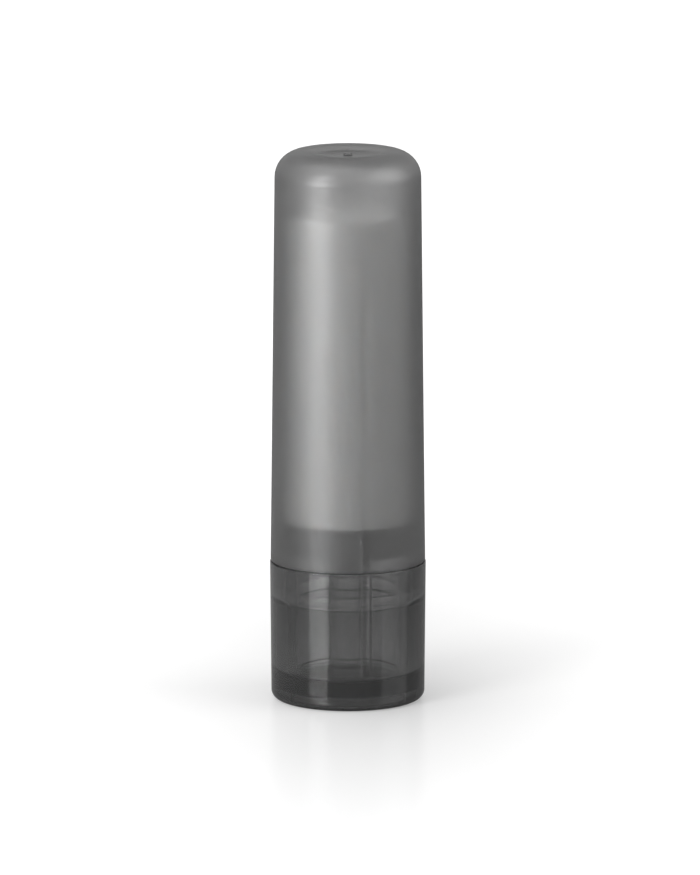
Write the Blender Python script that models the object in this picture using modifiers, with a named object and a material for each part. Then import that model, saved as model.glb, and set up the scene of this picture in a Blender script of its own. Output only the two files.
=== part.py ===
"""A twist-up lip balm stick: cap, barrel, twist base with its drive screw, elevator and balm.

The stick stands on its base. Metres, +Z up, origin at the centre of the base's foot.
The side that faces a viewer looking along +Y is the front.
"""

from math import cos, pi, radians, sin

import bmesh
import bpy
from mathutils import Matrix, Vector

MM = 0.001

# The whole stick
TOTAL_HEIGHT = 69.0 * MM
PARTING_HEIGHT = 17.25 * MM  # top of the base's rim, where the cap's edge comes down
SEAM_GAP = 0.3 * MM  # between the base's rim and what stands above it
FIT_GAP = 0.25 * MM  # between pieces that slide or turn on each other
GRIP_GAP = 0.2 * MM  # between the barrel's collar and the cap that it holds
CUT_OVERRUN = 1.0 * MM
BOND = 0.3 * MM  # how deep a joined shape sinks into its carrier

# Cap
CAP_SET_IN = 0.08 * MM  # of its edge, inside the base's rim
CAP_TAPER = 0.54 * MM  # the draft makes its shoulder this much less in radius than its edge
CAP_WALL = 1.0 * MM
CAP_SHOULDER_FILLET = 3.3 * MM
CAP_INNER_FILLET = 2.2 * MM
CAP_EDGE_ROUND = 0.2 * MM
DISH_DEPTH = 0.65 * MM
DISH_SIDE = 0.45 * MM  # how far the dish's side leans inwards
GATE_RADIUS = 0.55 * MM
GATE_HEIGHT = 0.3 * MM

# Twist base
BASE_WALL = 1.7 * MM
BASE_TAPER = 0.16 * MM  # its foot is this much less in radius than its rim
BASE_FOOT_FILLET = 1.1 * MM
BASE_RIM_ROUND = 0.2 * MM
BASE_FLOOR = 1.7 * MM
BASE_INNER_FILLET = 0.8 * MM
RECESS_DEPTH = 1.6 * MM
FOOT_RING_WIDTH = 1.3 * MM  # the flat ring that the stick stands on

# Snap joint that holds the barrel in the base and lets the base turn
SNAP_DROP = 3.8 * MM  # from the parting line down to the bead's middle
BEAD_RISE = 0.35 * MM
BEAD_FLAT = 0.5 * MM
BEAD_SLOPE = 0.45 * MM
INSERT_STEP = 0.38 * MM  # how far the insert stands out from the barrel's wall
INSERT_LENGTH = 4.9 * MM

# Barrel, whose bore sets how wide every piece is
BORE_RADIUS = 6.45 * MM
BARREL_WALL = 0.92 * MM
MOUTH_DEPTH = 7.9 * MM  # from the cap's top down to the mouth
MOUTH_ROUND = 0.25 * MM
COLLAR_HEIGHT = 4.85 * MM
COLLAR_ROUND = 0.35 * MM
SKIRT_GAP = 0.5 * MM  # from the skirt's lower end to the base's floor
KEY_HEIGHT = 0.65 * MM
KEY_WIDTH = 0.8 * MM
KEY_SET_BACK = 4.2 * MM  # from the mouth down to where the keys begin
KEY_MARGIN = 0.5 * MM  # key left above the elevator when the balm is fully out
KEY_ANGLE = radians(-70.7)  # one key is a little right of the front, the other opposite
KEY_COUNT = 2

# Drive screw, which stands in the middle of the base's floor
SCREW_CORE_RADIUS = 1.7 * MM
SCREW_CREST_RADIUS = 2.25 * MM
SCREW_LEAD = 4.0 * MM
RIDGE_ROOT_WIDTH = 1.5 * MM
RIDGE_CREST_WIDTH = 0.8 * MM
NUT_CLEARANCE = 0.4 * MM  # from the plain stem's top up to the nut
THREAD_MARGIN = 0.5 * MM  # thread left above the nut when the balm is fully out
TIP_HEIGHT = 0.8 * MM
TIP_RADIUS = 1.0 * MM
STEM_FOOT_RISE = 0.7 * MM  # the cone that braces the stem on the floor
STEM_FOOT_SPREAD = 0.7 * MM

# Elevator
ELEVATOR_HEIGHT = 3.8 * MM
ELEVATOR_FLOOR = 1.1 * MM
ELEVATOR_WALL = 1.05 * MM
NUT_RADIUS = 3.3 * MM
NUT_RISE = 3.0 * MM  # of the nut's top above the elevator's underside
NUT_DROP = 2.2 * MM  # of the nut's sleeve below it
NUT_LEAD_IN = 0.4 * MM

# Balm
BALM_SET_BACK = 0.2 * MM  # of its top below the barrel's mouth
BALM_EDGE_ROUND = 0.5 * MM
BORE_HEADROOM = 0.5 * MM  # over the screw's tip

# Facets
OUTER_STEPS = 64
INNER_STEPS = 48
THREAD_STEPS = 20
ARC_STEPS = 6
SHARP_ANGLE = radians(35)
MERGE = 0.01 * MM

# Radii worked out from the bore outwards
BARREL_RADIUS = BORE_RADIUS + BARREL_WALL
INSERT_RADIUS = BARREL_RADIUS + INSERT_STEP
BASE_INNER_RADIUS = INSERT_RADIUS + FIT_GAP
BASE_RIM_RADIUS = BASE_INNER_RADIUS + BASE_WALL
BASE_FOOT_RADIUS = BASE_RIM_RADIUS - BASE_TAPER
CAP_EDGE_RADIUS = BASE_RIM_RADIUS - CAP_SET_IN
CAP_SHOULDER_RADIUS = CAP_EDGE_RADIUS - CAP_TAPER

# Places worked out from the sizes above
CAP_EDGE_HEIGHT = PARTING_HEIGHT + SEAM_GAP
CAP_SHOULDER_HEIGHT = TOTAL_HEIGHT - CAP_SHOULDER_FILLET
CAP_CEILING = TOTAL_HEIGHT - DISH_DEPTH - CAP_WALL
CAP_INNER_RADIUS = CAP_EDGE_RADIUS - CAP_WALL
CAP_INNER_TOP_RADIUS = CAP_SHOULDER_RADIUS - CAP_WALL
CAP_DRAFT = CAP_TAPER / (CAP_SHOULDER_HEIGHT - CAP_EDGE_HEIGHT)
COLLAR_BASE = PARTING_HEIGHT + SEAM_GAP
COLLAR_TOP = COLLAR_BASE + COLLAR_HEIGHT
COLLAR_RADIUS = CAP_INNER_RADIUS - CAP_DRAFT * COLLAR_HEIGHT - GRIP_GAP
BASE_FLOOR_TOP = RECESS_DEPTH + BASE_FLOOR
RECESS_RADIUS = BASE_FOOT_RADIUS - BASE_FOOT_FILLET - FOOT_RING_WIDTH
SNAP_HEIGHT = PARTING_HEIGHT - SNAP_DROP
MOUTH_HEIGHT = TOTAL_HEIGHT - MOUTH_DEPTH
SKIRT_BASE = BASE_FLOOR_TOP + SKIRT_GAP
KEY_TOP = MOUTH_HEIGHT - KEY_SET_BACK
TRAVEL = KEY_TOP - KEY_MARGIN - COLLAR_TOP
ELEVATOR_RADIUS = BORE_RADIUS - FIT_GAP
ELEVATOR_BASE = COLLAR_TOP - ELEVATOR_HEIGHT
CUP_RADIUS = ELEVATOR_RADIUS - ELEVATOR_WALL
CUP_FLOOR = ELEVATOR_BASE + ELEVATOR_FLOOR
NUT_TOP = ELEVATOR_BASE + NUT_RISE
NUT_BASE = ELEVATOR_BASE - NUT_DROP
NUT_CORE_RADIUS = SCREW_CORE_RADIUS + FIT_GAP
STEM_TOP = NUT_BASE - NUT_CLEARANCE
RIDGE_BASE = STEM_TOP + RIDGE_ROOT_WIDTH / 2
THREAD_TOP = NUT_TOP + TRAVEL + THREAD_MARGIN
SCREW_TOP = THREAD_TOP + TIP_HEIGHT
SLOT_FLOOR_RADIUS = BORE_RADIUS - KEY_HEIGHT - FIT_GAP
SLOT_WIDTH = KEY_WIDTH + 2 * FIT_GAP
BALM_RADIUS = BORE_RADIUS - FIT_GAP
BALM_TOP = MOUTH_HEIGHT - BALM_SET_BACK
TWIST = 2 * pi * TRAVEL / SCREW_LEAD


def clear_scene():
    """Removes every object, so that the script starts from an empty scene."""
    for thing in list(bpy.data.objects):
        bpy.data.objects.remove(thing, do_unlink=True)


def collection(name):
    """Adds a collection to the scene."""
    made = bpy.data.collections.new(name)
    bpy.context.scene.collection.children.link(made)
    return made


def plastic(name, color, roughness, transmission=0.0, ior=1.5):
    """Makes a Principled material; transmission is the share of light that passes."""
    made = bpy.data.materials.new(name)
    made.use_nodes = True
    shader = made.node_tree.nodes["Principled BSDF"]
    shader.inputs["Base Color"].default_value = (*color, 1.0)
    shader.inputs["Roughness"].default_value = roughness
    shader.inputs["Transmission Weight"].default_value = transmission
    shader.inputs["IOR"].default_value = ior
    return made


def add(name, mesh, home):
    """Puts a mesh into the scene as an object of the given collection."""
    thing = bpy.data.objects.new(name, mesh)
    home.objects.link(thing)
    return thing


def helper(name, mesh):
    """Adds a shape that only cuts or joins another, and is never rendered."""
    thing = add(name, mesh, CUTTERS)
    thing.hide_render = True
    thing.display_type = "WIRE"
    return thing


def arc(radius_at, height_at, size, start, end, steps=ARC_STEPS):
    """Points of a round corner in the profile plane; angles in degrees, 0 is outwards."""
    points = []
    for step in range(steps + 1):
        angle = radians(start + (end - start) * step / steps)
        points.append((radius_at + size * cos(angle), height_at + size * sin(angle)))
    return points


def outline_mesh(name, points, is_ring):
    """Makes a profile in the XZ plane from (radius, height) points, down its outer side."""
    mesh = bpy.data.meshes.new(name)
    edges = [(i, i + 1) for i in range(len(points) - 1)]
    if is_ring:
        edges.append((len(points) - 1, 0))
    mesh.from_pydata([(radius, 0, height) for radius, height in points], edges, [])
    return mesh


def turn(thing, steps):
    """Turns an object's profile once round Z."""
    screw = thing.modifiers.new("turn", "SCREW")
    screw.axis = "Z"
    screw.angle = 2 * pi
    screw.steps = steps
    screw.render_steps = steps
    screw.use_merge_vertices = True
    screw.merge_threshold = MERGE
    screw.use_smooth_shade = True


def boolean(thing, other, operation):
    """Joins another object to this one, or cuts it away."""
    change = thing.modifiers.new(other.name, "BOOLEAN")
    change.operation = operation
    change.solver = "EXACT"
    change.object = other


def box_mesh(name, size, centre):
    """A box as a mesh, centred at the given point."""
    bm = bmesh.new()
    place = Matrix.Translation(Vector(centre)) @ Matrix.Diagonal((*size, 1.0))
    bmesh.ops.create_cube(bm, size=1.0, matrix=place)
    mesh = bpy.data.meshes.new(name)
    bm.to_mesh(mesh)
    bm.free()
    return mesh


def key_bars(name, inner, outer, low, high, width):
    """Upright bars at the keys' angles, from one radius to another."""
    bars = []
    for number in range(KEY_COUNT):
        size = (outer - inner, width, high - low)
        centre = ((inner + outer) / 2, 0, (low + high) / 2)
        bar = helper(f"{name}_{number + 1}", box_mesh(name, size, centre))
        bar.rotation_euler.z = KEY_ANGLE + 2 * pi * number / KEY_COUNT
        bars.append(bar)
    return bars


def ridge_mesh(name, crest, sunk_to, grow, low, high):
    """A left-handed helical ridge round Z, its ends flat. grow widens it for a nut."""
    slope = (RIDGE_ROOT_WIDTH - RIDGE_CREST_WIDTH) / (SCREW_CREST_RADIUS - SCREW_CORE_RADIUS)
    half_crest = RIDGE_CREST_WIDTH / 2 + grow
    half_root = half_crest + slope * (crest - sunk_to) / 2
    turns = (high - low) / SCREW_LEAD
    steps = max(1, round(turns * THREAD_STEPS))
    bm = bmesh.new()
    corners = [
        bm.verts.new((sunk_to, 0, low + half_root)),
        bm.verts.new((crest, 0, low + half_crest)),
        bm.verts.new((crest, 0, low - half_crest)),
        bm.verts.new((sunk_to, 0, low - half_root)),
    ]
    section = bm.faces.new(corners)
    bmesh.ops.spin(
        bm,
        geom=[section],
        cent=(0, 0, 0),
        axis=(0, 0, -1),
        dvec=(0, 0, (high - low) / steps),
        angle=2 * pi * turns,
        steps=steps,
        use_duplicate=False,
    )
    bmesh.ops.recalc_face_normals(bm, faces=bm.faces)
    mesh = bpy.data.meshes.new(name)
    bm.to_mesh(mesh)
    bm.free()
    return mesh


def settle(thing, material):
    """Applies an object's modifiers, shades it smooth between sharp edges and colours it."""
    graph = bpy.context.evaluated_depsgraph_get()
    made = bpy.data.meshes.new_from_object(thing.evaluated_get(graph))
    thing.modifiers.clear()
    thing.data = made
    made.name = thing.name
    made.materials.clear()
    made.materials.append(material)
    made.shade_smooth()
    made.set_sharp_from_angle(angle=SHARP_ANGLE)


def cap():
    """The pull-off cap: a drafted cup with a round shoulder and a dished top."""
    crest = CAP_SHOULDER_RADIUS - CAP_SHOULDER_FILLET
    dish = crest - DISH_SIDE
    dish_height = TOTAL_HEIGHT - DISH_DEPTH
    inner_corner = CAP_INNER_TOP_RADIUS - CAP_INNER_FILLET
    points = [
        (0, dish_height + GATE_HEIGHT),
        (GATE_RADIUS, dish_height + GATE_HEIGHT),
        (GATE_RADIUS, dish_height),
        (dish, dish_height),
    ]
    points += arc(crest, CAP_SHOULDER_HEIGHT, CAP_SHOULDER_FILLET, 90, 0, 2 * ARC_STEPS)
    edge = CAP_EDGE_RADIUS - CAP_EDGE_ROUND
    points += arc(edge, CAP_EDGE_HEIGHT + CAP_EDGE_ROUND, CAP_EDGE_ROUND, 0, -90, 2)
    points.append((CAP_INNER_RADIUS, CAP_EDGE_HEIGHT))
    points += arc(inner_corner, CAP_CEILING - CAP_INNER_FILLET, CAP_INNER_FILLET, 0, 90)
    points.append((0, CAP_CEILING))
    thing = add("cap", outline_mesh("cap", points, False), STICK)
    turn(thing, OUTER_STEPS)
    return thing


def base():
    """The twist base: a cup with a rounded foot and a snap groove, and the screw on its floor."""
    groove = BASE_INNER_RADIUS + BEAD_RISE
    groove_half = BEAD_FLAT / 2 + FIT_GAP
    points = [(0, BASE_FLOOR_TOP)]
    corner = BASE_INNER_RADIUS - BASE_INNER_FILLET
    points += arc(corner, BASE_FLOOR_TOP + BASE_INNER_FILLET, BASE_INNER_FILLET, -90, 0, 3)
    points += [
        (BASE_INNER_RADIUS, SNAP_HEIGHT - groove_half - BEAD_SLOPE),
        (groove, SNAP_HEIGHT - groove_half),
        (groove, SNAP_HEIGHT + groove_half),
        (BASE_INNER_RADIUS, SNAP_HEIGHT + groove_half + BEAD_SLOPE),
        (BASE_INNER_RADIUS, PARTING_HEIGHT),
    ]
    rim = BASE_RIM_RADIUS - BASE_RIM_ROUND
    points += arc(rim, PARTING_HEIGHT - BASE_RIM_ROUND, BASE_RIM_ROUND, 90, 0, 2)
    points += arc(BASE_FOOT_RADIUS - BASE_FOOT_FILLET, BASE_FOOT_FILLET, BASE_FOOT_FILLET, 0, -90)
    points += [
        (RECESS_RADIUS, 0),
        (RECESS_RADIUS, RECESS_DEPTH),
        (0, RECESS_DEPTH),
    ]
    thing = add("twist_base", outline_mesh("twist_base", points, False), STICK)
    turn(thing, OUTER_STEPS)
    boolean(thing, screw_rod(), "UNION")
    return thing


def screw_rod():
    """The drive screw: a plain stem, then a coarse left-hand thread that lifts the elevator."""
    points = [
        (0, SCREW_TOP),
        (TIP_RADIUS, SCREW_TOP),
        (SCREW_CORE_RADIUS, THREAD_TOP),
        (SCREW_CORE_RADIUS, STEM_TOP),
        (SCREW_CREST_RADIUS, STEM_TOP),
        (SCREW_CREST_RADIUS, BASE_FLOOR_TOP + STEM_FOOT_RISE),
        (SCREW_CREST_RADIUS + STEM_FOOT_SPREAD, BASE_FLOOR_TOP),
        (SCREW_CREST_RADIUS + STEM_FOOT_SPREAD, BASE_FLOOR_TOP - BOND),
        (0, BASE_FLOOR_TOP - BOND),
    ]
    thing = helper("screw_rod", outline_mesh("screw_rod", points, False))
    turn(thing, THREAD_STEPS)
    high = THREAD_TOP - RIDGE_ROOT_WIDTH / 2
    sunk = SCREW_CORE_RADIUS - BOND
    ridge = ridge_mesh("ridge", SCREW_CREST_RADIUS, sunk, 0, RIDGE_BASE - BOND, high)
    boolean(thing, helper("ridge", ridge), "UNION")
    return thing


def barrel():
    """The barrel: a thin tube with a collar for the cap, a snap insert and a keyed bore."""
    bead = INSERT_RADIUS + BEAD_RISE
    bead_half = BEAD_FLAT / 2
    insert_base = COLLAR_BASE - INSERT_LENGTH
    points = [(BORE_RADIUS, MOUTH_HEIGHT)]
    points += arc(BARREL_RADIUS - MOUTH_ROUND, MOUTH_HEIGHT - MOUTH_ROUND, MOUTH_ROUND, 90, 0, 2)
    points.append((BARREL_RADIUS, COLLAR_TOP))
    points += arc(COLLAR_RADIUS - COLLAR_ROUND, COLLAR_TOP - COLLAR_ROUND, COLLAR_ROUND, 90, 0, 3)
    points += [
        (COLLAR_RADIUS, COLLAR_BASE),
        (INSERT_RADIUS, COLLAR_BASE),
        (INSERT_RADIUS, SNAP_HEIGHT + bead_half + BEAD_SLOPE),
        (bead, SNAP_HEIGHT + bead_half),
        (bead, SNAP_HEIGHT - bead_half),
        (INSERT_RADIUS, insert_base),
        (BARREL_RADIUS, insert_base),
        (BARREL_RADIUS, SKIRT_BASE),
        (BORE_RADIUS, SKIRT_BASE),
    ]
    thing = add("barrel", outline_mesh("barrel", points, True), STICK)
    turn(thing, OUTER_STEPS)
    inner = BORE_RADIUS - KEY_HEIGHT
    outer = BORE_RADIUS + BARREL_WALL / 2
    for bar in key_bars("key", inner, outer, SKIRT_BASE, KEY_TOP, KEY_WIDTH):
        boolean(thing, bar, "UNION")
    return thing


def elevator():
    """The elevator: a cup that carries the balm, keyed to the barrel, with a nut in its middle."""
    cup_rim = ELEVATOR_BASE + ELEVATOR_HEIGHT
    lead_in = NUT_RADIUS - NUT_LEAD_IN
    points = [
        (0, NUT_TOP),
        (NUT_RADIUS, NUT_TOP),
        (NUT_RADIUS, CUP_FLOOR),
        (CUP_RADIUS, CUP_FLOOR),
        (CUP_RADIUS, cup_rim),
        (ELEVATOR_RADIUS, cup_rim),
        (ELEVATOR_RADIUS, ELEVATOR_BASE),
        (NUT_RADIUS, ELEVATOR_BASE),
        (NUT_RADIUS, NUT_BASE + NUT_LEAD_IN),
        (lead_in, NUT_BASE),
        (0, NUT_BASE),
    ]
    thing = add("elevator", outline_mesh("elevator", points, False), STICK)
    turn(thing, INNER_STEPS)
    cut_key_slots(thing, "slot", ELEVATOR_BASE - CUT_OVERRUN, cup_rim + CUT_OVERRUN)
    boolean(thing, nut_cutter(), "DIFFERENCE")
    return thing


def cut_key_slots(thing, name, low, high):
    """Cuts the slots in which a piece inside the barrel slides along the barrel's keys."""
    for bar in key_bars(name, SLOT_FLOOR_RADIUS, BORE_RADIUS + CUT_OVERRUN, low, high, SLOT_WIDTH):
        boolean(thing, bar, "DIFFERENCE")


def nut_cutter():
    """The space that the screw takes inside the nut: its core and ridge, grown by the fit gap."""
    low = NUT_BASE - CUT_OVERRUN
    high = NUT_TOP + CUT_OVERRUN
    points = [
        (0, high),
        (NUT_CORE_RADIUS, high),
        (NUT_CORE_RADIUS, low),
        (0, low),
    ]
    thing = helper("nut_cutter", outline_mesh("nut_cutter", points, False))
    turn(thing, THREAD_STEPS)
    # The nut's ridge begins whole turns below the screw's own, so the two are in step.
    first = RIDGE_BASE - BOND - 2 * SCREW_LEAD
    last = first + SCREW_LEAD * (1 + (high - first) // SCREW_LEAD)
    crest = SCREW_CREST_RADIUS + FIT_GAP
    ridge = ridge_mesh("nut_ridge", crest, NUT_CORE_RADIUS - BOND, FIT_GAP, first, last)
    boolean(thing, helper("nut_ridge", ridge), "UNION")
    return thing


def balm():
    """The balm: a cast stick that fills the bore, plugs the elevator and clears the screw."""
    plug_radius = CUP_RADIUS - FIT_GAP
    plug_base = CUP_FLOOR + FIT_GAP
    body_base = COLLAR_TOP + FIT_GAP
    nut_hole = NUT_RADIUS + FIT_GAP
    screw_hole = SCREW_CREST_RADIUS + FIT_GAP
    points = [(0, BALM_TOP)]
    points += arc(BALM_RADIUS - BALM_EDGE_ROUND, BALM_TOP - BALM_EDGE_ROUND, BALM_EDGE_ROUND, 90, 0, 3)
    points += [
        (BALM_RADIUS, body_base),
        (plug_radius, body_base),
        (plug_radius, plug_base),
        (nut_hole, plug_base),
        (nut_hole, NUT_TOP + FIT_GAP),
        (screw_hole, NUT_TOP + FIT_GAP),
        (screw_hole, SCREW_TOP + BORE_HEADROOM),
        (0, SCREW_TOP + BORE_HEADROOM),
    ]
    thing = add("balm", outline_mesh("balm", points, False), STICK)
    turn(thing, INNER_STEPS)
    cut_key_slots(thing, "groove", body_base - CUT_OVERRUN, KEY_TOP + FIT_GAP)
    return thing


clear_scene()
STICK = collection("lip_balm_stick")
CUTTERS = collection("cutters")
FROSTED = plastic("frosted smoke polypropylene", (0.35, 0.35, 0.35), 0.35, transmission=0.8)
SMOKED = plastic("gloss smoke polystyrene", (0.2, 0.2, 0.2), 0.08, transmission=0.8)
CLEAR = plastic("clear styrene acrylonitrile", (0.85, 0.85, 0.85), 0.08, transmission=0.9)
GREY = plastic("grey polypropylene", (0.2, 0.2, 0.2), 0.4)
WAX = plastic("balm wax", (0.85, 0.85, 0.84), 0.5)

PIECES = [
    (cap(), FROSTED),
    (barrel(), CLEAR),
    (base(), SMOKED),
    (elevator(), GREY),
    (balm(), WAX),
]
bpy.context.view_layer.update()
for piece, coat in PIECES:
    settle(piece, coat)

print("twist from end to end in degrees:", round(TWIST * 180 / pi))
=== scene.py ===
# %% [markdown]
# # A lip balm stick in smoke-grey plastic
#
# The stick stands closed. A frosted cap goes over a clear barrel with a column of white balm in
# it, and both stand in a smoke-grey twist base whose screw pushes the balm up. Nearly all that
# the eye sees lies behind one or two walls of plastic, so every wall is modelled with a real
# thickness, and the grey comes from light that is lost inside the walls.
#
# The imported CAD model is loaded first. It is the frame that every piece is placed by.

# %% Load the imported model
from math import atan2, ceil, cos, degrees, exp, pi, radians, sin, tan

import bmesh
import bpy
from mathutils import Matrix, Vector


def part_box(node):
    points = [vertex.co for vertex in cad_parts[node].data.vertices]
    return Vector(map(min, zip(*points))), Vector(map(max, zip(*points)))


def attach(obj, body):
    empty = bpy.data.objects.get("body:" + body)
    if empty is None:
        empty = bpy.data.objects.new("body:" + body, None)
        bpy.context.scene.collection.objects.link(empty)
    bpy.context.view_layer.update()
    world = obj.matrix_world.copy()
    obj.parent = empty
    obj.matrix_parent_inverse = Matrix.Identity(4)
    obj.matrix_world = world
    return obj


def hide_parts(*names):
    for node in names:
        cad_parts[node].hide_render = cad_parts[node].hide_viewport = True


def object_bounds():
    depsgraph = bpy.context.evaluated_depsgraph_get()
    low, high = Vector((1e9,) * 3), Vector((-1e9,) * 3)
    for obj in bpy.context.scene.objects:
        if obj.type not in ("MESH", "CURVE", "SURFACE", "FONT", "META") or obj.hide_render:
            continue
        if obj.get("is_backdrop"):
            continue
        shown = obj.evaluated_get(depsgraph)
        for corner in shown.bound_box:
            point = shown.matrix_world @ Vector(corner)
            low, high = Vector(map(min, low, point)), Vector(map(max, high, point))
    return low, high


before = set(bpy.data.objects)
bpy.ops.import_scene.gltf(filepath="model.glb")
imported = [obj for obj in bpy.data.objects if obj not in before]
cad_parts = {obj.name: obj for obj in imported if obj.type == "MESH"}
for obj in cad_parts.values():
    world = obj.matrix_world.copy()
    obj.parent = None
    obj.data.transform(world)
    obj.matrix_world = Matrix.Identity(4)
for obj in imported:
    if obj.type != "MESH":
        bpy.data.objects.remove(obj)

cad_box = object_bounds()
MM = 0.001


# %% [markdown]
# ## Where the CAD pieces end
#
# Each CAD piece was turned about the Z axis, so its box gives its height and its radius. They
# are read here in millimetres, and the details between them are written down with each piece.

# %% Read heights and radii off the CAD pieces
def foot(name):
    """The lowest point of a CAD piece, in mm."""
    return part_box(name)[0].z / MM


def head(name):
    """The highest point of a CAD piece, in mm."""
    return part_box(name)[1].z / MM


def reach(name):
    """The largest radius of a CAD piece, in mm."""
    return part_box(name)[1].x / MM


for name in ("cap", "barrel", "twist_base", "elevator", "balm"):
    print(f"{name}: z {foot(name):.2f} to {head(name):.2f} mm, radius {reach(name):.2f} mm")


# %% [markdown]
# ## Turned shapes
#
# All pieces are bodies of revolution with a few keys, slots or threads on them. A Screw
# modifier with Booleans would do, but it leaves long thin faces that show as dark creases in
# clear plastic. Here an outline is turned by hand instead: each outline point becomes a ring of
# vertices, and a second function may push a vertex in or out by its angle. That makes the keys
# and the thread part of the same clean grid.
#
# A mould has no knife-sharp corner, so every corner of an outline carries its own rounding.
# Smooth shading would carry that rounding on into the straights beside it, and clear plastic
# would bend light there as a lens does. One more point near both ends of each long straight
# keeps it flat.

# %% Round an outline
def held(points, ring, hold=0.05, long=1.0):
    """Adds a point hold mm from both ends of each straight that is more than long mm."""
    kept = []
    for number, here in enumerate(points):
        kept.append(here)
        if number == len(points) - 1 and not ring:
            break
        there = points[(number + 1) % len(points)]
        length = ((there[0] - here[0]) ** 2 + (there[1] - here[1]) ** 2) ** 0.5
        if length > long:
            for share in (hold / length, 1 - hold / length):
                kept.append(tuple(a + (b - a) * share for a, b in zip(here, there)))
    return kept


def rounded(corners, ring=False, bend=radians(9)):
    """Rounds an outline. A corner is (radius, height, rounding) in mm, bend is one facet's turn."""
    points = []
    for number, (across, up, size) in enumerate(corners):
        is_end = not ring and number in (0, len(corners) - 1)
        if size == 0 or is_end:
            points.append((across, up))
            continue
        here = Vector((across, up))
        back = (Vector(corners[number - 1][:2]) - here).normalized()
        on = (Vector(corners[(number + 1) % len(corners)][:2]) - here).normalized()
        half = back.angle(on) / 2
        centre = here + (back + on).normalized() * size / sin(half)
        start = here + back * size / tan(half) - centre
        stop = here + on * size / tan(half) - centre
        sweep = atan2(start.cross(stop), start.dot(stop))
        steps = max(2, ceil(abs(sweep) / bend))
        first = atan2(start.y, start.x)
        for step in range(steps + 1):
            angle = first + sweep * step / steps
            points.append((centre.x + size * cos(angle), centre.y + size * sin(angle)))
    return held(points, ring)


# %% Turn an outline about the Z axis
SPOKE_COUNT = 160
EVEN_SPOKES = [2 * pi * number / SPOKE_COUNT for number in range(SPOKE_COUNT)]
SHARP = radians(40)


def turned(name, outline, ring=False, spokes=EVEN_SPOKES, shape=None):
    """Turns an outline once round Z. shape(radius, height, angle) may change a point's radius."""
    bm = bmesh.new()
    rows = []
    for radius, height in outline:
        if radius == 0:
            rows.append([bm.verts.new((0, 0, height * MM))])
            continue
        row = []
        for angle in spokes:
            out = shape(radius, height, angle) if shape else radius
            row.append(bm.verts.new((out * cos(angle) * MM, out * sin(angle) * MM, height * MM)))
        rows.append(row)
    pairs = list(zip(rows, rows[1:]))
    if ring:
        pairs.append((rows[-1], rows[0]))
    for one, other in pairs:
        for this in range(len(spokes)):
            after = (this + 1) % len(spokes)
            corners = [one[this % len(one)], one[after % len(one)]]
            corners += [other[after % len(other)], other[this % len(other)]]
            bm.faces.new(dict.fromkeys(corners))
    bmesh.ops.recalc_face_normals(bm, faces=bm.faces)
    mesh = bpy.data.meshes.new(name)
    bm.to_mesh(mesh)
    bm.free()
    mesh.shade_smooth()
    mesh.set_sharp_from_angle(angle=SHARP)
    piece = bpy.data.objects.new(name, mesh)
    bpy.context.scene.collection.objects.link(piece)
    print(f"{name}: {len(mesh.polygons)} faces")
    return piece


# %% [markdown]
# ## Material helpers
#
# Colours are written as sRGB hex values and turned to the linear numbers that Blender renders
# with. One function adds a node, sets it and links it, so that a material reads from top to
# bottom like a recipe. Pattern sizes are given in millimetres of the real surface.

# %% Colours, nodes and pattern sizes
def linear(code):
    """An sRGB hex colour such as #808080 as linear red, green, blue and alpha."""
    levels = [int(code[place:place + 2], 16) / 255 for place in (1, 3, 5)]
    return (*(v / 12.92 if v <= 0.04045 else ((v + 0.055) / 1.055) ** 2.4 for v in levels), 1.0)


def node(tree, kind, settings=None, links=None):
    """Adds a node. settings are inputs or properties by name, links are outputs for its inputs."""
    made = tree.nodes.new("ShaderNode" + kind)
    for name, value in (settings or {}).items():
        if isinstance(name, int) or name in made.inputs:
            made.inputs[name].default_value = value
        else:
            setattr(made, name, value)
    for name, output in (links or {}).items():
        tree.links.new(output, made.inputs[name])
    return made


def per_mm(size):
    """The scale of a texture whose features are size mm across on the object."""
    return 1 / (size * MM)


def new_material(name):
    """An empty node material and its output node."""
    made = bpy.data.materials.new(name)
    made.use_nodes = True
    made.node_tree.nodes.clear()
    return made, node(made.node_tree, "OutputMaterial")


# %% [markdown]
# ## Smoke-grey clear plastics
#
# Cap, barrel and base are moulded from clear plastics with a little black dye. A dyed plastic
# has no colour on its surface: light loses strength on its way through, so a thick place looks
# darker than a thin one. The shader therefore is clear glass with a plain Volume Absorption in
# it, whose density is the share of light lost per metre.
#
# Glass blocks lamps in Cycles, and the balm inside would stay black. For shadow rays alone the
# surface is swapped for a Transparent shader that loses what the surface mirrors, and the
# absorption goes on working on them.
#
# Two small shares finish the recipe. Haze is the part of the surface that scatters light and
# lets none through. Skin is a gloss coat a little rougher than the plastic, which strengthens
# the highlights: brighter lamps would do that too, but they would burn the bare balm white.

# %% One recipe for the three clear plastics
SKIN_SPREAD = 1.3


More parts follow.
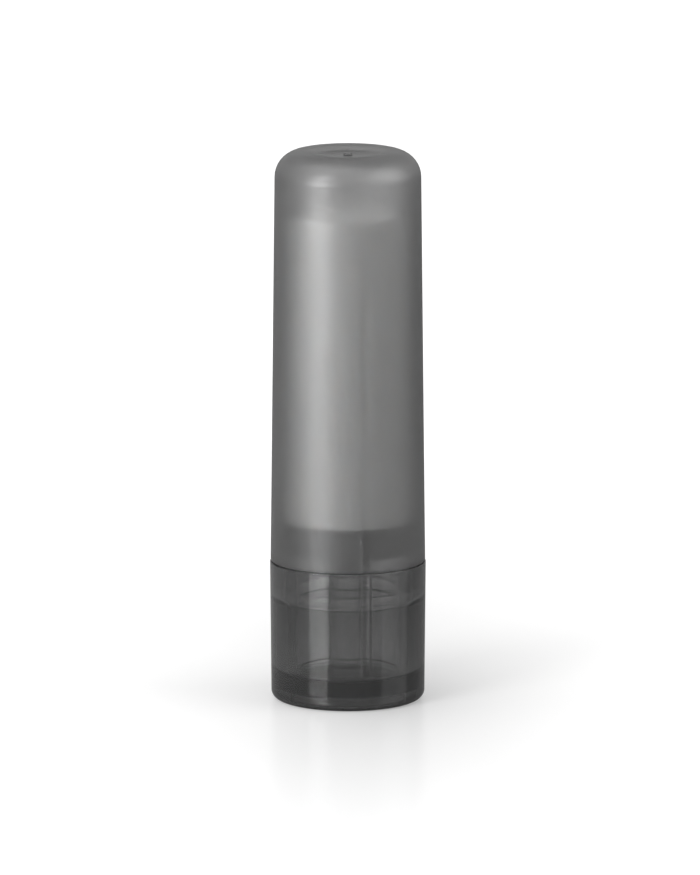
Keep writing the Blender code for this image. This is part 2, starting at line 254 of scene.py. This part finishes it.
def clear_plastic(name, ior, roughness, loss_per_mm, haze, skin, finish):
    """A dyed clear plastic. finish(tree) adds its surface and returns roughness and normal."""
    made, output = new_material(name)
    tree = made.node_tree
    body = node(tree, "BsdfPrincipled", {
        "Base Color": linear("#FFFFFF"),
        "Roughness": roughness,
        "IOR": ior,
        "Transmission Weight": 1 - haze,
        "Coat Weight": skin,
        "Coat Roughness": SKIN_SPREAD * roughness,
    })
    for socket, source in finish(tree).items():
        tree.links.new(source, body.inputs[socket])
    passed = 1 - ((ior - 1) / (ior + 1)) ** 2
    for_lamps = node(tree, "BsdfTransparent", {"Color": (passed, passed, passed, 1.0)})
    path = node(tree, "LightPath")
    both = node(tree, "MixShader", {}, {
        0: path.outputs["Is Shadow Ray"],
        1: body.outputs["BSDF"],
        2: for_lamps.outputs["BSDF"],
    })
    dye = node(tree, "VolumeAbsorption", {
        "Color": linear("#000000"),
        "Density": loss_per_mm / MM,
    })
    tree.links.new(both.outputs[0], output.inputs["Surface"])
    tree.links.new(dye.outputs[0], output.inputs["Volume"])
    print(f"{name}: 1 mm lets {exp(-loss_per_mm):.0%} of the light through")
    return made


# %% [markdown]
# The cap is polypropylene from a spark-eroded mould. The mould's fine pits print a frosted
# skin that spreads highlights and softens what stands behind the wall. The real grain is about
# 0.05 mm, less than a pixel, so it is drawn at 0.3 mm and kept very shallow, and a slow, weak
# change in roughness stands for uneven wear of the mould.

# %% Frosted smoke polypropylene
def spark_eroded(tree):
    """The satin skin of a spark-eroded mould."""
    place = node(tree, "TexCoord").outputs["Object"]
    grain = node(tree, "TexNoise", {"Scale": per_mm(0.3), "Detail": 3.0}, {"Vector": place})
    bump = node(tree, "Bump", {"Strength": 0.06, "Distance": 0.02 * MM}, {
        "Height": grain.outputs["Fac"],
    })
    cloud = node(tree, "TexNoise", {"Scale": per_mm(9), "Detail": 2.0}, {"Vector": place})
    satin = node(tree, "MapRange", {"To Min": 0.3, "To Max": 0.36}, {
        "Value": cloud.outputs["Fac"],
    })
    return {"Roughness": satin.outputs["Result"], "Normal": bump.outputs["Normal"]}


FROSTED_POLYPROPYLENE = clear_plastic(
    "frosted smoke polypropylene", 1.49, 0.33, 0.375, 0.015, 1.0, spark_eroded
)


# %% [markdown]
# The barrel, the screw and the base come from polished moulds, so they are glossy and sharp to
# look through. Barrel and screw are nearly colourless. The base has far more dye and a thick
# wall, which makes it the darkest piece. A trace of waviness, as every moulding has where it
# shrinks, keeps the reflections from being perfect.

# %% Polished clear and smoke plastics
def mould_polished(tree):
    """The gloss of a polished mould, with slow shrinkage waves and faint handling haze."""
    place = node(tree, "TexCoord").outputs["Object"]
    wave = node(tree, "TexNoise", {"Scale": per_mm(5), "Detail": 1.0}, {"Vector": place})
    bump = node(tree, "Bump", {"Strength": 0.1, "Distance": 0.05 * MM}, {
        "Height": wave.outputs["Fac"],
    })
    haze = node(tree, "TexNoise", {"Scale": per_mm(2.5), "Detail": 4.0}, {"Vector": place})
    gloss = node(tree, "MapRange", {"To Min": 0.03, "To Max": 0.07}, {
        "Value": haze.outputs["Fac"],
    })
    return {"Roughness": gloss.outputs["Result"], "Normal": bump.outputs["Normal"]}


CLEAR_STYRENE = clear_plastic(
    "polished clear styrene acrylonitrile", 1.5, 0.05, 0.05, 0.0, 0.0, mould_polished
)
SMOKE_STYRENE = clear_plastic(
    "polished smoke polystyrene", 1.5, 0.05, 0.6, 0.034, 0.5, mould_polished
)


# %% [markdown]
# ## Balm wax and grey polypropylene
#
# The balm is poured hot and sets against the barrel. Wax is nearly white, lets light in a
# fraction of a millimetre and has a dull, slightly greasy skin. The elevator under it is
# polypropylene with a grey dye, which is a little glossier than wax and as cloudy inside. Its
# flow marks show as faint clouds a few millimetres wide.

# %% Cast balm wax and grey polypropylene
def cast_wax():
    """Lip balm as it sets: near white, faintly mottled, with a soft sheen."""
    made, output = new_material("cast balm wax")
    tree = made.node_tree
    place = node(tree, "TexCoord").outputs["Object"]
    mottle = node(tree, "TexNoise", {"Scale": per_mm(3), "Detail": 3.0}, {"Vector": place})
    tint = node(tree, "Mix", {"data_type": "RGBA", 6: linear("#E8E8E7"), 7: linear("#F1F1F0")}, {
        0: mottle.outputs["Fac"],
    })
    grain = node(tree, "TexNoise", {"Scale": per_mm(0.5), "Detail": 4.0}, {"Vector": place})
    bump = node(tree, "Bump", {"Strength": 0.15, "Distance": 0.03 * MM}, {
        "Height": grain.outputs["Fac"],
    })
    wax = node(tree, "BsdfPrincipled", {
        "Roughness": 0.5,
        "IOR": 1.44,
        "Subsurface Weight": 0.3,
        "Subsurface Radius": (1.0, 0.9, 0.8),
        "Subsurface Scale": 0.5 * MM,
    }, {"Base Color": tint.outputs[2], "Normal": bump.outputs["Normal"]})
    tree.links.new(wax.outputs["BSDF"], output.inputs["Surface"])
    return made


def grey_polypropylene():
    """Grey polypropylene as moulded, with faint flow marks and a satin skin."""
    made, output = new_material("grey polypropylene")
    tree = made.node_tree
    place = node(tree, "TexCoord").outputs["Object"]
    flow = node(tree, "TexNoise", {"Scale": per_mm(4), "Detail": 2.0}, {"Vector": place})
    tint = node(tree, "Mix", {"data_type": "RGBA", 6: linear("#787878"), 7: linear("#848484")}, {
        0: flow.outputs["Fac"],
    })
    plastic = node(tree, "BsdfPrincipled", {
        "Roughness": 0.35,
        "IOR": 1.49,
        "Subsurface Weight": 0.2,
        "Subsurface Radius": (1.0, 1.0, 1.0),
        "Subsurface Scale": 0.4 * MM,
    }, {"Base Color": tint.outputs[2]})
    tree.links.new(plastic.outputs["BSDF"], output.inputs["Surface"])
    return made


BALM_WAX = cast_wax()
GREY_POLYPROPYLENE = grey_polypropylene()
print("opaque finishes:", BALM_WAX.name, "and", GREY_POLYPROPYLENE.name)


# %% [markdown]
# ## The cap
#
# The cap is a cup moulded upside down. Its sides lean in by a little over half a degree, so
# that it leaves the mould, and run into a round shoulder. The wall grows thicker towards the
# edge, which is why the cap looks darker there. The top is a shallow dish, so that the mark of
# the gate, where the plastic was shot in, stays below the rim. Its curve is a formula that is
# level both in the middle and at the rim.

# %% Turn the cap
def cap():
    """The pull-off cap as one closed wall."""
    top = head("cap")
    edge = foot("cap")
    wall = 0.92
    edge_wall = 1.22
    shoulder = 3.28
    outer = reach("cap")
    lean = 0.58
    narrow = outer - lean
    dish_depth = 0.65
    dish_dent = 0.45
    dish_steps = 18
    dish = top - dish_depth
    ceiling = top - wall
    gate = 0.55
    gate_rise = 0.3
    crest = narrow - shoulder
    corners = [
        (0, dish + gate_rise, 0),
        (gate, dish + gate_rise, 0.12),
        (gate, dish, 0.08),
    ]
    for step in range(4, dish_steps):
        share = step / dish_steps
        corners.append((crest * share, top - dish_depth * (1 - share ** 3) ** 2, 0))
    corners += [
        (narrow, top, shoulder),
        (outer, edge, 0.12),
        (outer - edge_wall, edge, 0.12),
        (narrow + 0.01 - wall, ceiling, shoulder - wall),
        (crest - 0.4, ceiling, 0.4),
        (crest - 1.4, ceiling - dish_dent, 0.8),
        (0, ceiling - dish_dent, 0),
    ]
    return turned("cap_shell", rounded(corners))


cap_shell = cap()
cap_shell.data.materials.append(FROSTED_POLYPROPYLENE)
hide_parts("cap")
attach(cap_shell, "cap")


# %% [markdown]
# ## The barrel
#
# The barrel is one tube with four things on it: the mouth, a collar that the cap grips, an
# insert with a snap bead that clicks into the base, and a thin skirt that hangs down in the
# base. Two keys run along its bore and stop the elevator from turning, which is why turning
# the base lifts the balm. One shows as an upright line in the base, a little right of the
# middle. Behind the balm it can't be seen, so it is low there and tall in the skirt. Spokes are
# added at the keys' edges, so that their sides are crisp.

# %% Place the two keys
BORE = 6.45
KEYS = [radians(-70.7), radians(109.3)]
KEY_FOOT = radians(4.8)
KEY_CREST = radians(4.5)
TALL_KEY = 0.8
LOW_KEY = 0.12
KEY_STEP = 22.2
KEY_TOP = head("barrel") - 4.2


def beside_keys(angle):
    """How far an angle is from the nearest key's middle."""
    return min(abs((angle - key + pi) % (2 * pi) - pi) for key in KEYS)


def spokes_at_keys(sides, clear):
    """Even spokes, but none closer than clear to a key's middle save those at the given sides."""
    spokes = [angle for angle in EVEN_SPOKES if beside_keys(angle) > clear]
    for key in KEYS:
        spokes += [(key + side) % (2 * pi) for side in sides]
    return sorted(spokes)


def key_rise(height, angle):
    """How far a key stands out of the bore: tall in the skirt, low above it, nothing elsewhere."""
    if beside_keys(angle) > KEY_CREST + 0.001 or height > KEY_TOP - 0.1:
        return 0.0
    return TALL_KEY if height < KEY_STEP else LOW_KEY


KEY_SIDES = (-KEY_FOOT, -KEY_CREST, 0, KEY_CREST, KEY_FOOT)
KEYED_SPOKES = spokes_at_keys(KEY_SIDES, KEY_FOOT + 0.01)
print(f"keys from the skirt up to z {KEY_TOP:.1f} mm, on {len(KEYED_SPOKES)} spokes")

# %% Turn the barrel with its keys
def barrel():
    """The barrel as one closed wall, keys included."""
    wall = 0.92
    outer = BORE + wall
    mouth = head("barrel")
    skirt = foot("barrel")
    collar_foot = foot("cap")
    collar = collar_foot + 4.85
    insert = outer + 0.38
    bead = insert + 0.12
    snap = collar_foot - 4.1
    insert_foot = collar_foot - 4.9
    corners = [
        (BORE, mouth, 0.1),
        (outer, mouth, 0.1),
        (outer, collar, 0.2),
        (reach("barrel"), collar, 0.35),
        (reach("barrel"), collar_foot, 0.1),
        (insert, collar_foot, 0.1),
        (insert, snap + 0.7, 0.3),
        (bead, snap + 0.25, 0.3),
        (bead, snap - 0.25, 0.2),
        (insert, insert_foot, 0.25),
        (outer, insert_foot, 0.05),
        (outer, skirt, 0.2),
        (BORE, skirt, 0.0),
        (BORE, KEY_STEP - 0.2, 0.0),
        (BORE, KEY_STEP + 0.8, 0.0),
        (BORE, KEY_TOP - 0.5, 0.0),
        (BORE, KEY_TOP, 0.0),
    ]

    def keyed(radius, height, angle):
        return radius - key_rise(height, angle) if radius == BORE else radius

    return turned("barrel_tube", rounded(corners, ring=True), True, KEYED_SPOKES, keyed)


barrel_tube = barrel()
barrel_tube.data.materials.append(CLEAR_STYRENE)
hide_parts("barrel")
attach(barrel_tube, "barrel")


# %% [markdown]
# ## The twist base
#
# The base is a thick cup with a hollow foot. A shallow groove inside it takes the barrel's snap
# bead. Below the groove the wall is thicker and ends in a step just under the barrel's insert:
# the step shows as a level line across the base, and the thick wall as a dark band at each
# side, where the eye looks along it. The cup is one closed outline, turned as the cap is.

# %% Turn the base
FLOOR = foot("barrel") - 0.5


def twist_base():
    """The base's cup as one closed wall."""
    rim = foot("cap") - 0.15
    outer = reach("twist_base")
    inner = 8.0
    thick_inner = 7.45
    step = foot("cap") - 5.05
    groove = inner + 0.12
    snap = rim - 3.95
    recess = 1.6
    ring = 7.14
    corners = [
        (0, FLOOR, 0),
        (thick_inner, FLOOR, 0.8),
        (thick_inner, step, 0.12),
        (inner, step, 0.05),
        (groove, snap - 0.35, 0.5),
        (groove, snap + 0.35, 0.5),
        (inner, snap + 0.95, 0.6),
        (inner, rim, 0.1),
        (outer, rim, 0.1),
        (outer - 0.16, 0, 1.1),
        (ring, 0, 0.15),
        (ring, recess, 0.3),
        (0, recess, 0),
    ]
    return turned("twist_base_cup", rounded(corners))


base_cup = twist_base()
base_cup.data.materials.append(SMOKE_STYRENE)
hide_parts("twist_base")
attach(base_cup, "twist_base")


# %% [markdown]
# ## The drive screw
#
# The screw stands on the base's floor and turns with it. A plain stem carries it up to the
# balm, and its thread is coarse and left-handed, one turn in 4 mm, so that turning the base
# the natural way sends the balm up. In the grid of rings the thread is nothing but a radius
# that changes with height and angle, and the nut in the elevator uses the same formula with
# some play. The screw looks clearer than the base, so it is a mesh of its own.

# %% Turn the drive screw
SCREW_CORE = 1.7
SCREW_CREST = 2.25
SCREW_LEAD = 4.0
STEM_TOP = 16.0
RIDGE_START = 16.45
RIDGE_HALF = 0.75
RIDGE_SLOPE = 0.35
THREAD_ROW = 0.25


def thread(height, angle, gap=0.0):
    """The radius of the left-hand thread at a height and an angle, grown by gap for the nut."""
    along = height - RIDGE_START + SCREW_LEAD * angle / (2 * pi)
    off_middle = abs((along + SCREW_LEAD / 2) % SCREW_LEAD - SCREW_LEAD / 2)
    rise = (RIDGE_HALF + gap - off_middle) / RIDGE_SLOPE
    return SCREW_CORE + gap + (SCREW_CREST - SCREW_CORE) * min(max(rise, 0), 1)


def column(radius, start, stop):
    """Outline points up or down a threaded straight, one per row, without its two ends."""
    rows = round(abs(stop - start) / THREAD_ROW)
    return [(radius, start + (stop - start) * row / rows, 0) for row in range(1, rows)]


def drive_screw():
    """The screw that stands on the base's floor, as one closed body."""
    tip = head("twist_base")
    thread_top = tip - 0.8
    corners = [
        (0, tip, 0),
        (1.0, tip, 0.25),
        (SCREW_CORE, thread_top, 0),
    ]
    corners += column(SCREW_CORE, thread_top, STEM_TOP)
    corners += [
        (SCREW_CREST, STEM_TOP, 0),
        (SCREW_CREST, FLOOR + 0.7, 0.3),
        (SCREW_CREST + 0.7, FLOOR + 0.01, 0.1),
        (0, FLOOR + 0.01, 0),
    ]

    def threaded(radius, height, angle):
        if radius != SCREW_CORE or height > thread_top - 0.3:
            return radius
        fade = min(1, (thread_top - height) / 1.5)
        return SCREW_CORE + (thread(height, angle) - SCREW_CORE) * fade

    return turned("drive_screw", rounded(corners), spokes=EVEN_SPOKES[::2], shape=threaded)


screw = drive_screw()
screw.data.materials.append(CLEAR_STYRENE)
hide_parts("twist_base")
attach(screw, "twist_base")


# %% [markdown]
# ## The elevator
#
# The elevator is the small plastic cup under the balm. The nut in its middle runs on the
# screw, and the two slots in its side slide on the barrel's keys. It shows as the darker band
# under the white column. Like the balm it reaches a hundredth of a millimetre into the bore's
# wall, so that no film of air mirrors the room in front of it.

# %% Turn the elevator with its nut
NUT_PLAY = 0.25
SLOT_SIDES = [radians(side) for side in (-6.7, -5.9, 0, 5.9, 6.7)]
SLOTTED_SPOKES = spokes_at_keys(SLOT_SIDES, radians(6.9))
TOUCH = BORE + 0.01


def elevator():
    """The elevator: cup, nut and slots as one closed body."""
    rim = head("elevator")
    nut_foot = foot("elevator")
    base = rim - 3.8
    nut_top = base + 3.0
    cup = reach("elevator") - 1.05
    nut = 3.3
    bore = SCREW_CORE + NUT_PLAY
    slot_floor = TOUCH - 0.9
    corners = [(bore, nut_foot, 0)]
    corners += column(bore, nut_foot, nut_top)
    corners += [
        (bore, nut_top, 0),
        (nut, nut_top, 0.2),
        (nut, base + 1.1, 0.2),
        (cup, base + 1.1, 0.4),
        (cup, rim, 0.1),
        (TOUCH, rim, 0.15),
        (TOUCH, base, 0.2),
        (nut, base, 0.2),
        (nut, nut_foot + 0.4, 0.1),
        (nut - 0.4, nut_foot, 0.1),
    ]

    def slotted(radius, height, angle):
        if radius == bore:
            return thread(height, angle, NUT_PLAY)
        in_slot = beside_keys(angle) <= KEY_FOOT + 0.03
        return min(radius, slot_floor) if in_slot else radius

    return turned("elevator_cup", rounded(corners, ring=True), True, SLOTTED_SPOKES, slotted)


elevator_cup = elevator()
elevator_cup.data.materials.append(GREY_POLYPROPYLENE)
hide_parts("elevator")
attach(elevator_cup, "balm_carrier")


# %% [markdown]
# ## The balm
#
# The balm was poured into the standing barrel and touches its wall all round. That contact
# matters: with no air behind it, the wall works as a lens and the white column looks as wide
# as the barrel itself. The mesh therefore reaches a hundredth of a millimetre into the wall.
# Its top is flat with a soft edge and sank a little in the middle as it cooled.

# %% Turn the balm
def balm():
    """The cast stick, with the screw's bore in it and the keys' grooves along it."""
    top = head("balm")
    body_foot = head("elevator") + 0.05
    plug = 4.9
    plug_foot = foot("balm")
    bore = SCREW_CREST + 0.25
    bore_top = head("twist_base") + 0.5
    nut = 3.55
    nut_top = head("elevator") - 0.55
    corners = [
        (0, top - 0.35, 0),
        (2.6, top - 0.3, 3.0),
        (4.6, top, 1.6),
        (TOUCH, top, 0.25),
        (TOUCH, KEY_TOP, 0),
        (TOUCH, KEY_TOP - 0.5, 0),
        (TOUCH, body_foot, 0),
        (plug, body_foot, 0),
        (plug, plug_foot, 0.1),
        (nut, plug_foot, 0),
        (nut, nut_top, 0),
        (bore, nut_top, 0),
        (bore, bore_top, 0),
        (0, bore_top, 0),
    ]

    def grooved(radius, height, angle):
        return radius - key_rise(height, angle) if radius == TOUCH else radius

    return turned("balm_stick", rounded(corners), spokes=KEYED_SPOKES, shape=grooved)


balm_stick = balm()
balm_stick.data.materials.append(BALM_WAX)
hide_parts("balm")
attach(balm_stick, "balm_carrier")


# %% [markdown]
# ## The table
#
# The stick stands on white coated card. Its slight gloss gives the faint mirror image under the
# base, and it carries a soft reflection of the lamps into the stick's upright walls, which face
# the table more than they face the lamps.
#
# A sheet that is lit plainly comes out pale grey, and more light would burn the object. So the
# sheet has a tone for each kind of ray. Light that bounces finds plain card. The camera sees a
# painted glow added that grows with the distance from the stick, so the shade by the foot stays;
# the glow is weakest in an oval leaning right, which paints that shade out on the shadow side.
# Walls that mirror the sheet see it painted dark, as dark cards round a see-through object would
# make it, and painted darker on the right, where the stick's shadow falls. What is seen through
# the plastic is painted as dark, but close to the stick a painted glow gives back the light that
# the plastic's own shadow takes from it, save under the hollow foot.

# %% Tell kinds of rays apart
def by_ray(tree, light, mirrored, through, seen):
    """One level for light, one each for mirrored rays, rays through plastic and camera rays."""
    path = node(tree, "LightPath")
    level = light
    for ray, other in (("Glossy", mirrored), ("Transmission", through), ("Camera", seen)):
        mix = node(tree, "Mix", {}, {0: path.outputs[f"Is {ray} Ray"]})
        for place, value in ((2, level), (3, other)):
            if isinstance(value, float):
                mix.inputs[place].default_value = value
            else:
                tree.links.new(value, mix.inputs[place])
        level = mix.outputs[0]
    return level


# %% White card with a slight gloss
PAINTED_SHADE_REACH = 60
PAINTED_SHADE_LEAN = 4
FOOT_RADIUS = 9.5


def white_sheet():
    """White coated card under a thin, slightly rough gloss, with painted glow and painted shade."""
    made, output = new_material("white coated card")
    tree = made.node_tree
    place = node(tree, "TexCoord").outputs["Object"]
    # Painted shade: the camera's glow is weakest in an oval round the foot that reaches further
    # back than across and leans right, to the stick's shadow side.
    oval = node(tree, "VectorMath", {
        "operation": "MULTIPLY_ADD",
        1: (1.0, 0.36, 1.0),
        2: (-PAINTED_SHADE_LEAN * MM, 0.0, 0.0),
    }, {0: place})
    away = node(tree, "VectorMath", {"operation": "LENGTH"}, {0: oval.outputs["Vector"]})
    near = node(tree, "MapRange", {"From Max": PAINTED_SHADE_REACH * MM}, {
        "Value": away.outputs["Value"],
    })
    rise = node(tree, "Math", {"operation": "POWER", 1: 0.65}, {0: near.outputs["Result"]})
    # Painted light: a glow that only the camera sees, weak by the foot and strong far out.
    glow = node(tree, "MapRange", {"To Min": 0.15, "To Max": 0.74}, {"Value": rise.outputs[0]})
    # Painted light: rays through the plastic see a glow near the stick that gives back what the
    # stick's shadow takes, and none under the hollow foot.
    fall = node(tree, "MapRange", {"To Min": 1.85, "To Max": 0.15}, {"Value": rise.outputs[0]})
    span = node(tree, "VectorMath", {"operation": "LENGTH"}, {0: place})
    beyond_foot = node(tree, "MapRange", {
        "From Min": (FOOT_RADIUS - 0.1) * MM,
        "From Max": (FOOT_RADIUS + 0.1) * MM,
        "To Min": 0.02,
    }, {"Value": span.outputs["Value"]})
    painted_back_light = node(tree, "Math", {"operation": "MULTIPLY"}, {
        0: fall.outputs["Result"],
        1: beyond_foot.outputs["Result"],
    })
    # Painted shade: mirrored rays and rays through the plastic see the card darker than it is lit,
    # and darker still towards the right, where the stick's shadow falls; mirrored rays darker
    # again.
    across = node(tree, "SeparateXYZ", {}, {0: place}).outputs["X"]
    through = node(tree, "MapRange", {
        "From Min": -25 * MM,
        "From Max": 25 * MM,
        "To Min": 0.58,
        "To Max": 0.24,
    }, {"Value": across}).outputs["Result"]
    mirrored = node(tree, "Math", {"operation": "MULTIPLY", 1: 0.6}, {0: through}).outputs[0]
    card = node(tree, "BsdfPrincipled", {
        "Roughness": 0.22,
        "IOR": 1.45,
        "Emission Color": linear("#FFFFFF"),
    }, {
        "Base Color": by_ray(tree, 0.74, mirrored, through, 0.92),
        "Emission Strength": by_ray(tree, 0.0, 0.0, painted_back_light.outputs[0], glow.outputs["Result"]),
    })
    tree.links.new(card.outputs["BSDF"], output.inputs["Surface"])
    return made


# %% Lay the table
def table():
    """A large flat sheet at the height that the stick stands on."""
    half = 1.5
    mesh = bpy.data.meshes.new("table_sheet")
    mesh.from_pydata(
        [(-half, -half, 0), (half, -half, 0), (half, half, 0), (-half, half, 0)], [], [(0, 1, 2, 3)]
    )
    sheet = bpy.data.objects.new("table_sheet", mesh)
    bpy.context.scene.collection.objects.link(sheet)
    sheet.data.materials.append(white_sheet())
    print(f"table: {2 * half:.0f} m square at z 0")
    return sheet


table()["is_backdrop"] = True


# %% [markdown]
# ## Lamps
#
# The light is that of a small product studio. A large soft lamp above and to the left throws
# the soft shadow to the right. A small softbox high at the front left puts the bright spot on
# the cap's shoulder. A long flat one at the same side, just above the table, draws the upright
# highlights: the walls mirror the glossy table, and the lamp is mirrored in the table there. A
# white card at the right fills the dark side. A lamp's strength is given as the brightness of
# its face, where 1 is white, and its energy in watts follows from that and its size.
#
# Together they light a white wall that faces front left about as brightly as it is written, so
# that the bare balm stays below white when the cap is off.

# %% Place the softboxes
MIDDLE = Vector((0, 0, 0.0345))


def softbox(name, place, width, height, brightness):
    """A rectangular lamp at a place in metres, facing the stick's middle."""
    data = bpy.data.lights.new(name, "AREA")
    data.shape = "RECTANGLE"
    data.size = width
    data.size_y = height
    data.energy = brightness * pi * width * height
    lamp = bpy.data.objects.new(name, data)
    bpy.context.scene.collection.objects.link(lamp)
    lamp.location = place
    lamp.rotation_euler = (MIDDLE - Vector(place)).to_track_quat("-Z", "Y").to_euler()
    print(f"{name}: {data.energy:.2f} W")
    return lamp


def around(azimuth, distance, height):
    """A place seen from the stick: azimuth in degrees from the camera, positive to its right."""
    return (distance * sin(radians(azimuth)), -distance * cos(radians(azimuth)), height)


softbox("overhead_softbox", (-0.35, -0.15, 0.9), 0.8, 0.8, 0.8)
softbox("front_softbox", around(-42, 0.6, 0.36), 0.22, 0.18, 6.5)
softbox("front_left_softbox", around(-45, 0.5, 0.078), 0.25, 0.03, 27.0)
softbox("white_card", around(75, 0.5, 0.3), 0.5, 0.5, 1.4)


# %% [markdown]
# ## The room
#
# A dim room all round fills the shadows. It is darker towards its ceiling, so that the balm's
# flat top and the cap's rim stay as dark as in the photograph, and it is a little lighter on
# the left for what is seen through the cap. The camera alone sees it as plain white.

# %% Light the room
def room():
    """A dim white room all round, darker overhead."""
    world = bpy.data.worlds.new("room")
    world.use_nodes = True
    tree = world.node_tree
    tree.nodes.clear()
    way = node(tree, "TexCoord").outputs["Generated"]
    parts = node(tree, "SeparateXYZ", {}, {0: way}).outputs
    side = node(tree, "MapRange", {
        "From Min": -1.0,
        "From Max": 1.0,
        "To Min": 0.72,
        "To Max": 0.64,
    }, {"Value": parts["X"]}).outputs["Result"]
    overhead = node(tree, "MapRange", {"To Min": 1.0, "To Max": 0.37}, {
        "Value": parts["Z"],
    }).outputs["Result"]
    light = node(tree, "Math", {"operation": "MULTIPLY", 1: 0.54}, {0: overhead}).outputs[0]
    through = node(tree, "Math", {"operation": "MULTIPLY"}, {0: overhead, 1: side}).outputs[0]
    level = by_ray(tree, light, 0.34, through, 1.0)
    glow = node(tree, "Background", {"Color": linear("#FFFFFF")}, {"Strength": level})
    node(tree, "OutputWorld", {}, {"Surface": glow.outputs["Background"]})
    bpy.context.scene.world = world


room()
bpy.context.scene.view_settings.view_transform = "Standard"
print("view transform:", bpy.context.scene.view_settings.view_transform)


# %% [markdown]
# ## Camera
#
# A long lens from 1.15 m away, about 10 degrees above the stick. Its place follows from the
# ellipses in the photograph: the cap's edge, the base's rim and the foot look flatter the
# higher they are, and that fixes both the distance and the height.

# %% Place the camera
AIM = Vector((0.00026, 0, 0.03292))


def photo_camera():
    """The camera at the photograph's distance, height and framing."""
    data = bpy.data.cameras.new("photo_camera")
    data.sensor_width = 36
    data.lens = 381
    data.clip_start = 0.05
    data.clip_end = 10
    camera = bpy.data.objects.new("photo_camera", data)
    bpy.context.scene.collection.objects.link(camera)
    camera.location = (0, -1.1308, 0.2439)
    camera.rotation_euler = (AIM - camera.location).to_track_quat("-Z", "Y").to_euler()
    bpy.context.scene.camera = camera
    return camera


camera = photo_camera()
drop = camera.location.z - AIM.z
print(f"the camera looks down at {degrees(atan2(drop, -camera.location.y)):.1f} degrees")


# %% Print both boxes
boxes = {"cad": [list(p) for p in cad_box], "visual": [list(p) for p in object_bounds()]}
for name, box in boxes.items():
    print(name, "box in mm:", [[round(v / MM, 2) for v in point] for point in box])
